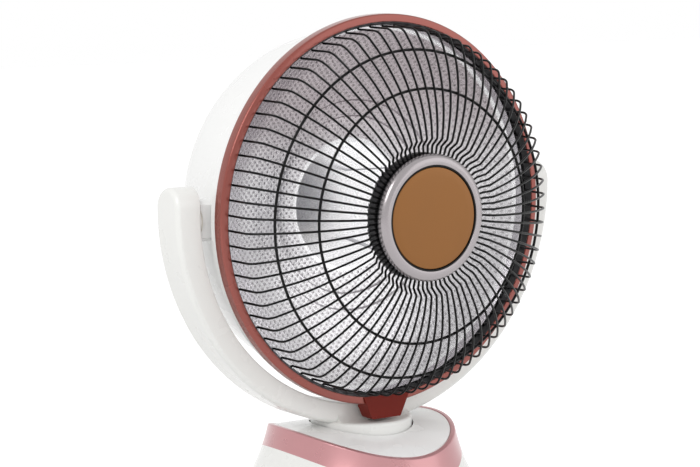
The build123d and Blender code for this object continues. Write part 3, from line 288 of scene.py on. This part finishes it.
dish_place = add_node(dish_tree, "ShaderNodeTexCoord")
dish_axes = add_node(dish_tree, "ShaderNodeSeparateXYZ", links=[(dish_place.outputs["Object"], "Vector")])
# Ramp up the dish's height for the painted reflection on its upper half.
upper_ramp = add_node(dish_tree, "ShaderNodeMapRange", interpolation_type="SMOOTHSTEP", in_From_Min=reflection_from,
                in_From_Max=reflection_to, links=[(dish_axes.outputs["Z"], "Value")])
upper_reflection = math_node(dish_tree, "MULTIPLY", upper_ramp.outputs["Result"], hammered.outputs["Mask"])
# Painted reflection: the hammered zone is darker, so the smooth middle and rim stay brighter.
painted_dish_colour = tinted(dish_tree, hammered.outputs["Mask"], plain_colour, screen(236, 235, 236))
# Painted shade: each dimple is darker in its hollow.
painted_dish_colour = tinted(dish_tree, hammered.outputs["Height"], painted_dish_colour, screen(214, 212, 213))
# Painted reflection: the upper half of the hammered zone is a darker pinkish grey.
painted_dish_colour = tinted(dish_tree, upper_reflection, painted_dish_colour, screen(214, 206, 207))
dish_tree.links.new(painted_dish_colour, dish_shader.inputs["Base Color"])
pressed = add_node(dish_tree, "ShaderNodeBump", in_Strength=1.0, in_Distance=dimple_depth, invert=True,
                   links=[(hammered.outputs["Height"], "Height"),
                          (dish_shader.inputs["Normal"].links[0].from_socket, "Normal")])
dish_tree.links.new(pressed.outputs["Normal"], dish_shader.inputs["Normal"])
print("finishes", len(bpy.data.materials))

# %% Who wears what
wears = {
    # The base's top plate takes this brighter white, not the base's moulded white, to lift it where the head
    # shades it: painted light.
    white_enamel: ["rear_shell", "shell_rim", "base_top_plate"],
    white_moulded: ["yoke", "yoke_cover", "base_body", "timer_knob", "heat_knob", "swing_button"],
    rose_ring: ["trim_ring"],
    rose_band: ["base_band"],
    red_clip: ["ring_clip"],
    dish_metal: ["reflector"],
    wire_black: ["guard_side_wires", "guard_dome_wires", "guard_outer_hoop", "guard_inner_hoop",
                 "guard_rim_wire", "hub_gasket"],
    # The guard liner's black is painted shade: a dark sheet set where the inside of the clamp ring lies in
    # shade.
    moulded_black: ["guard_liner", "hub_drum", "swing_switch", "timer_box", "heat_switch", "tip_switch",
                    "thermal_cutout", "bearing_ring"],
    silver_trim: ["hub_bezel"],
    bronze_disc: ["hub_disc"],
    raw_steel: ["hub_shield", "hub_screws", "clip_screw", "element_bracket", "yoke_cover_screws",
                "pivot_bolts", "turntable", "turntable_screws", "swing_shaft", "swing_frame",
                "motor_screws", "floor_screws"],
    white_ceramic: ["ceramic_holders", "terminal_block"],
    quartz: ["quartz_tubes"],
    woven_carbon: ["carbon_strips"],
    pressed_fibre: ["pivot_washers"],
    grey_moulded: ["base_floor", "tip_plunger", "inlet_bushing"],
    foot_rubber: ["rubber_feet"],
    cast_ballast: ["ballast_ring"],
    motor_paint: ["swing_motor"],
}
for material, names in wears.items():
    for name in names:
        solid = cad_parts[name].data
        solid.materials.clear()
        solid.materials.append(material)
print("dressed", sum(len(names) for names in wears.values()), "of", len(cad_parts))

# %% [markdown]
# ## Turned pieces
# Nearly everything on the dish is round about one axis, spun or pressed in a factory. A curve with a Screw
# modifier would do it, but bmesh's spin gives the same faces at once and can be welded shut, so one helper
# takes an outline as pairs of radius and depth in millimetres and spins it.

# %% Spin helper
MM = 0.001
pivot = Vector((0.0, 0.0, 0.318))
sharp_angle = math.radians(32)


def into_object(maker, name, material, body, replaced):
    """Finished object of a bmesh: smooth faces, sharp creases, riding on its body."""
    bmesh.ops.remove_doubles(maker, verts=maker.verts, dist=1e-6)
    bmesh.ops.recalc_face_normals(maker, faces=maker.faces)
    for face in maker.faces:
        face.smooth = True
    for edge in maker.edges:
        edge.smooth = len(edge.link_faces) == 2 and edge.calc_face_angle(0.0) < sharp_angle
    loose = sum(1 for edge in maker.edges if len(edge.link_faces) != 2)
    mesh = bpy.data.meshes.new(name)
    maker.to_mesh(mesh)
    maker.free()
    mesh.materials.append(material)
    piece = bpy.data.objects.new(name, mesh)
    bpy.context.scene.collection.objects.link(piece)
    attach(piece, body)
    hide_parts(*replaced)
    print(name, len(mesh.polygons), "faces,", loose, "open edges")
    return piece


def spin_outline(maker, outline, steps):
    """Closed outline of (radius, depth) in mm, spun about the dish's axis."""
    verts = [maker.verts.new((r * MM, y * MM, pivot.z)) for r, y in outline]
    edges = [maker.edges.new(pair) for pair in zip(verts, verts[1:] + verts[:1])]
    bmesh.ops.spin(maker, geom=verts + edges, cent=pivot, axis=(0, 1, 0), dvec=(0, 0, 0),
                   angle=2 * math.pi, steps=steps, use_merge=True, use_duplicate=False)


def arc(centre_r, centre_y, radius, start, stop, count):
    """Points of an arc in the outline's plane, angles in degrees from outwards towards the back."""
    turns = [math.radians(start + (stop - start) * i / count) for i in range(count + 1)]
    return [(centre_r + radius * math.cos(a), centre_y + radius * math.sin(a)) for a in turns]


def turned(name, outline, material, body, replaced, steps):
    """One piece spun about the dish's axis."""
    maker = bmesh.new()
    spin_outline(maker, outline, steps)
    return into_object(maker, name, material, body, replaced)


# %% [markdown]
# ## Reflector
# The dish behind the guard is spun from thin polished sheet, with two shallow steps round a flat middle. The
# solid has the right shape already, but its long thin triangles would streak a mirror, so the sheet is spun
# again in even rings. Its back runs parallel, so the piece stays a closed sheet.

# %% Reflector sheet
large_steps = 240
knot_steps = 12
sheet = 0.8
curve_knots = [(99.0, 11.8), (118.0, 6.6), (140.0, -2.6), (160.0, -15.2), (168.0, -21.0)]
steps_in = [(97.5, 13.8), (84.0, 16.4), (82.5, 18.4), (61.0, 20.2), (59.5, 21.0)]


def spline_points(knots, each):
    """Smooth curve through the knots: a Hermite stretch between each pair."""
    slopes = [(b[1] - a[1]) / (b[0] - a[0]) for a, b in zip(knots, knots[1:])]
    tangents = [slopes[0]] + [(s + t) / 2 for s, t in zip(slopes, slopes[1:])] + [slopes[-1]]
    points = []
    for i, ((r0, y0), (r1, y1)) in enumerate(zip(knots, knots[1:])):
        span = r1 - r0
        for k in range(each):
            t = k / each
            y = (y0 * (1 + 2 * t) * (1 - t) ** 2 + tangents[i] * span * t * (1 - t) ** 2
                 + y1 * t * t * (3 - 2 * t) + tangents[i + 1] * span * t * t * (t - 1))
            points.append((r0 + span * t, y))
    return points + [knots[-1]]


dish_front = [(0.0, 21.0), (30.0, 21.0), (58.5, 21.0)] + steps_in[::-1]
dish_front += spline_points(curve_knots, knot_steps)
dish_back = [(r, y + sheet) for r, y in dish_front]
dish_front += [(169.4, -29.5), (175.5, -29.5)]
dish_back += [(168.8, -20.6), (170.2, -28.7), (175.5, -28.7)]
turned("polished_dish", dish_front + dish_back[::-1], dish_metal, "head", ["reflector"], large_steps)

# %% [markdown]
# ## Clamp ring
# A rolled hoop, painted rose, clamps housing, dish and guard. A bevel on the solid would round all its
# corners alike, so the outline is spun anew, with an arc for each rolled edge that light catches.

# %% Clamp ring
ring_outline = [(177.6, -28.4), (177.15, -28.4), (177.15, -27.05)]
ring_outline += arc(179.1, -27.95, 0.9, 90, 0, 5)
ring_outline += [(180.0, -32.0)]
ring_outline += arc(178.2, -36.25, 1.8, 0, -80, 8)
ring_outline += arc(173.65, -38.4, 0.85, -100, -180, 6)
ring_outline += [(172.8, -37.0), (176.3, -35.8), (177.3, -35.2), (177.6, -34.6)]
turned("rolled_ring", ring_outline, rose_ring, "head", ["trim_ring"], large_steps)

# %% [markdown]
# ## Guard wires
# Each of the 78 wires is one length of hard steel, bent in a jig: hooked behind the rim wire, straight
# forward, round a soft corner, in along a shallow dome, a small step back and into the hub. A curve with a
# round bevel would give the same tube. Here a small circle is taken through the bends one by one, as the jig
# does, because then each bend keeps its own radius and the ends can be closed.

# %% Bending a wire
wire_radius = 1.05
wire_sides = 8
wire_start = (172.05, -31.5)
wire_moves = [("run", 1.05), ("bend", 90.0, 2.5, 4), ("run", 22.25), ("bend", -45.66, 16.0, 6),
              ("bend", -41.3, 141.2, 10), ("bend", -48.04, 2.4, 3), ("run", 7.21), ("bend", 45.0, 2.4, 3),
              ("run", 9.28)]


def bent_wire(maker, start, heading, moves, radius, sides):
    """Closed tube through runs and flat bends, its path in the plane of X and Y."""
    turn = Matrix.Rotation(math.pi / 2, 4, "X")
    face_on = Matrix.Rotation(heading - math.pi / 2, 4, "Z")
    circle = bmesh.ops.create_circle(maker, cap_ends=True, segments=sides, radius=radius,
                                     matrix=Matrix.Translation(start) @ face_on @ turn)
    ring = list(circle["verts"]) + list({e for v in circle["verts"] for e in v.link_edges})
    place, angle = Vector(start), heading
    for move in moves:
        ahead = Vector((math.cos(angle), math.sin(angle), 0.0))
        if move[0] == "run":
            edges = [item for item in ring if isinstance(item, bmesh.types.BMEdge)]
            grown = bmesh.ops.extrude_edge_only(maker, edges=edges)["geom"]
            verts = [item for item in grown if isinstance(item, bmesh.types.BMVert)]
            bmesh.ops.translate(maker, verts=verts, vec=ahead * move[1] * MM)
            ring = verts + [item for item in grown
                            if isinstance(item, bmesh.types.BMEdge) and item.is_boundary]
            place = place + ahead * move[1] * MM
            continue
        _, degrees_turned, bend_radius, steps = move
        side = math.copysign(1.0, degrees_turned)
        centre = place + Vector((-ahead.y, ahead.x, 0.0)) * side * bend_radius * MM
        turned_by = math.radians(degrees_turned)
        ring = bmesh.ops.spin(maker, geom=ring, cent=centre, axis=(0, 0, 1), dvec=(0, 0, 0),
                              angle=turned_by, steps=steps, use_duplicate=False)["geom_last"]
        place = centre + Matrix.Rotation(turned_by, 3, "Z") @ (place - centre)
        angle += turned_by
    bmesh.ops.edgeloop_fill(maker, edges=[e for e in ring if isinstance(e, bmesh.types.BMEdge)])
    return place


# %% The cage of wires
wire_count = 78
maker = bmesh.new()
wire_foot = Vector((wire_start[0] * MM, wire_start[1] * MM, pivot.z))
wire_end = bent_wire(maker, wire_foot, math.pi, wire_moves, wire_radius * MM, wire_sides)
first_turn = Matrix.Rotation(math.pi / wire_count, 4, "Y")
bmesh.ops.rotate(maker, verts=maker.verts, cent=pivot, matrix=first_turn)
bmesh.ops.spin(maker, geom=maker.verts[:] + maker.edges[:] + maker.faces[:], cent=pivot, axis=(0, 1, 0),
               dvec=(0, 0, 0), angle=2 * math.pi * (wire_count - 1) / wire_count, steps=wire_count - 1,
               use_duplicate=True)
into_object(maker, "guard_cage", wire_black, "head", ["guard_side_wires", "guard_dome_wires"])
print("wire ends at", [round(v / MM, 2) for v in wire_end])

# %% Hoops
hoops = {"outer_hoop": (149.3, -77.09, 1.3), "inner_hoop": (115.4, -96.13, 1.3),
         "rim_wire": (174.0, -31.5, 2.0)}
for hoop, (hoop_radius, hoop_depth, thickness) in hoops.items():
    turned(hoop, arc(hoop_radius, hoop_depth, thickness, 0, 330, 11), wire_black, "head", ["guard_" + hoop],
           large_steps)

# %% [markdown]
# ## Hub
# The wires end in a black moulded drum. A chromed ring and a thin dark joint frame a bronze disc, which is
# brushed metal under lacquer. The ring is drawn rounder than a chamfer, so that it takes one soft highlight.

# %% Hub pieces
hub_steps = 160
bezel_outline = [(48.0, -105.0), (57.4, -105.0)] + arc(57.3, -105.4, 0.5, 60, 0, 3)
bezel_outline += arc(51.4, -105.4, 6.4, -10, -88, 12) + arc(48.7, -111.1, 0.7, -90, -180, 4)
turned("hub_trim", bezel_outline, silver_trim, "head", ["hub_bezel"], hub_steps)
disc_outline = [(0.0, -111.5), (20.0, -111.45), (38.0, -111.3), (45.0, -111.05)]
disc_outline += arc(45.2, -110.2, 0.8, -80, 0, 4) + [(46.0, -105.0), (0.0, -105.0)]
turned("hub_plate", disc_outline, bronze_disc, "head", ["hub_disc"], hub_steps)

# %% [markdown]
# ## Floor, backdrop and light
# A white background could come from overexposed light, but that would bleach the heater too. Here the world
# gives a little less than white as light, and is white only where the camera, a reflection or glass sees it.
# The floor glows faintly for the same views and for no other, so it reads white and still takes the shadow.

# %% Stage
floor_half = 6.0
floor_grey = 0.82
floor_glow = 0.4
world_light = 0.82
floor_mesh = bpy.data.meshes.new("floor")
maker = bmesh.new()
bmesh.ops.create_grid(maker, x_segments=1, y_segments=1, size=floor_half)
maker.to_mesh(floor_mesh)
maker.free()
floor = bpy.data.objects.new("floor", floor_mesh)
bpy.context.scene.collection.objects.link(floor)


def seen_as_picture(tree):
    """Socket that is 1 for rays from the camera, off a mirror or through glass, and 0 for light."""
    path = tree.nodes.new("ShaderNodeLightPath")
    seen = math_node(tree, "ADD", path.outputs["Is Camera Ray"], path.outputs["Is Glossy Ray"])
    return math_node(tree, "MINIMUM", math_node(tree, "ADD", seen, path.outputs["Is Transmission Ray"]), 1.0)


floor_paint = bpy.data.materials.new("floor_paint")
floor_paint.use_nodes = True
floor_tree = floor_paint.node_tree
floor_shader = floor_tree.nodes["Principled BSDF"]
floor_shader.inputs["Base Color"].default_value = (floor_grey, floor_grey, floor_grey, 1.0)
floor_shader.inputs["Roughness"].default_value = 0.9
floor_shader.inputs["Specular IOR Level"].default_value = 0.2
floor_shader.inputs["Emission Color"].default_value = (1.0, 1.0, 1.0, 1.0)
floor_tree.links.new(math_node(floor_tree, "MULTIPLY", seen_as_picture(floor_tree), floor_glow),
                     floor_shader.inputs["Emission Strength"])
floor_mesh.materials.append(floor_paint)

world = bpy.data.worlds.new("studio")
bpy.context.scene.world = world
world.use_nodes = True
sky = world.node_tree
background = sky.nodes["Background"]
background.inputs["Color"].default_value = (1.0, 1.0, 1.0, 1.0)
background.inputs["Strength"].default_value = world_light
white = add_node(sky, "ShaderNodeBackground", in_Color=(1, 1, 1, 1), in_Strength=1.0)
choice = add_node(sky, "ShaderNodeMixShader", links=[(seen_as_picture(sky), 0)])
sky.links.new(background.outputs[0], choice.inputs[1])
sky.links.new(white.outputs[0], choice.inputs[2])
sky.links.new(choice.outputs[0], sky.nodes["World Output"].inputs["Surface"])
print("world", background.inputs["Strength"].default_value)

# %% [markdown]
# ## Lamps
# A strong lamp from the upper left and a weak one from the right give the white pieces some shape. A spot
# would throw hard edges, so both are square area lamps, turned towards the middle of the heater.

# %% Lamps
lamp_aim = Vector((0, 0, 0.3))


def softbox(name, place, width, power):
    """Square lamp at a place, turned towards the heater."""
    data = bpy.data.lights.new(name, "AREA")
    data.shape = "RECTANGLE"
    data.size = width
    data.size_y = width
    data.energy = power
    lamp = bpy.data.objects.new(name, data)
    aim = (lamp_aim - Vector(place)).to_track_quat("-Z", "Y")
    lamp.matrix_world = Matrix.Translation(place) @ aim.to_matrix().to_4x4()
    bpy.context.scene.collection.objects.link(lamp)


softbox("key", (-1.9, -1.2, 1.9), 1.2, 22.0)
softbox("fill", (1.6, -1.8, 1.0), 1.8, 9.0)

# %% View settings
bpy.context.scene.view_settings.view_transform = "Standard"
